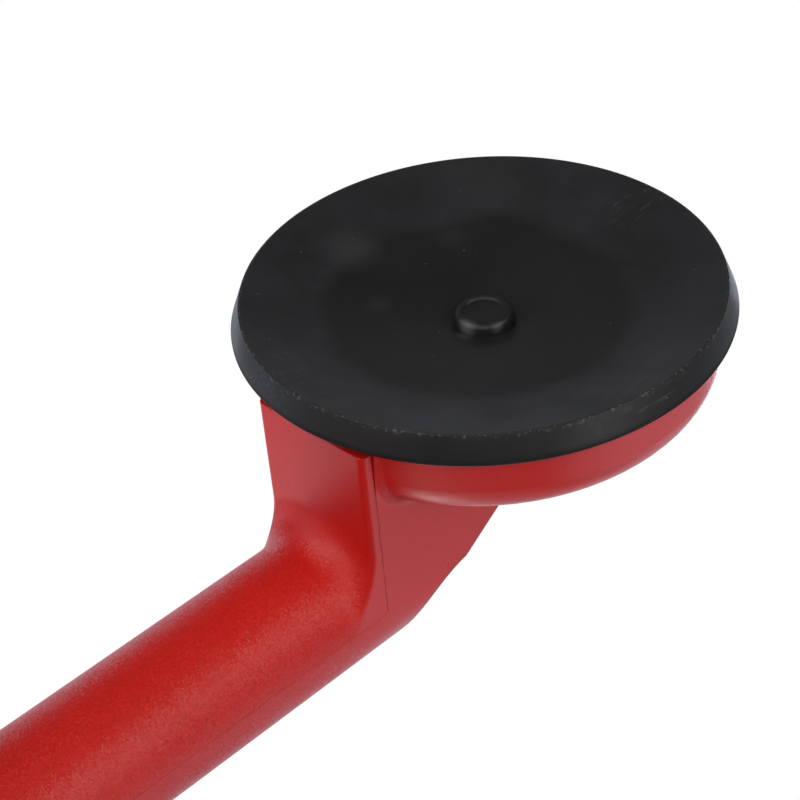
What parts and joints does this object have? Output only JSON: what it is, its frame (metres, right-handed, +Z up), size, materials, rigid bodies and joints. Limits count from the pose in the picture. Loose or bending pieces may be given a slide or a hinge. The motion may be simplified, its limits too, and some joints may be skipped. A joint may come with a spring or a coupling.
{
  "type": "floor tile suction lifter",
  "caption": "Hand lifter for floor tiles: a round grip between two rubber suction cups, each drawn up by a cam lever.",
  "frame": {"origin": "midway between the two cups, on the tile that they stand on", "axes": "+X along the grip, +Z up from the tile"},
  "size_m": [0.36, 0.12, 0.0748],
  "materials": {
    "red_moulding": "satin, fine grain",
    "black_rubber": "satin",
    "black_plastic": "fine grain",
    "bright_steel": "turned",
    "zinc_steel": "zinc plated",
    "spring_steel": "rolled",
    "bush_brass": "turned"
  },
  "bodies": {
    "root": {"housing": "red_moulding", "grip_shell": "red_moulding", "suction_pad_left": "black_rubber", "guide_bush_left": "bush_brass", "wear_plate_left": "spring_steel", "suction_pad_right": "black_rubber", "guide_bush_right": "bush_brass", "wear_plate_right": "spring_steel"},
    "stud_left": {"stud_left": "bright_steel", "anchor_plate_left": "zinc_steel", "lock_nut_left": "zinc_steel", "pivot_pin_left": "bright_steel", "retaining_clips_left": "spring_steel"},
    "lever_left": {"lever_left": "black_plastic"},
    "stud_right": {"stud_right": "bright_steel", "anchor_plate_right": "zinc_steel", "lock_nut_right": "zinc_steel", "pivot_pin_right": "bright_steel", "retaining_clips_right": "spring_steel"},
    "lever_right": {"lever_right": "black_plastic"}
  },
  "joints": [
    {"name": "stud_slide_left", "type": "slide", "parent": "root", "child": "stud_left", "axis": [0, 0, -1], "range_m": [0, 0.005], "deforming": ["suction_pad_left"]},
    {"name": "lever_hinge_left", "type": "hinge", "parent": "stud_left", "child": "lever_left", "pos_m": [-0.12, 0, 0.0359], "axis": [0, 1, 0], "range_deg": [0, 100]},
    {"name": "stud_slide_right", "type": "slide", "parent": "root", "child": "stud_right", "axis": [0, 0, -1], "range_m": [0, 0.005], "deforming": ["suction_pad_right"]},
    {"name": "lever_hinge_right", "type": "hinge", "parent": "stud_right", "child": "lever_right", "pos_m": [0.12, 0, 0.0359], "axis": [0, -1, 0], "range_deg": [0, 100]}
  ],
  "couplings": [
    {"joint": "stud_slide_left", "follows": "lever_hinge_left", "m_per_rad": 0.0028648},
    {"joint": "stud_slide_right", "follows": "lever_hinge_right", "m_per_rad": 0.0028648}
  ]
}
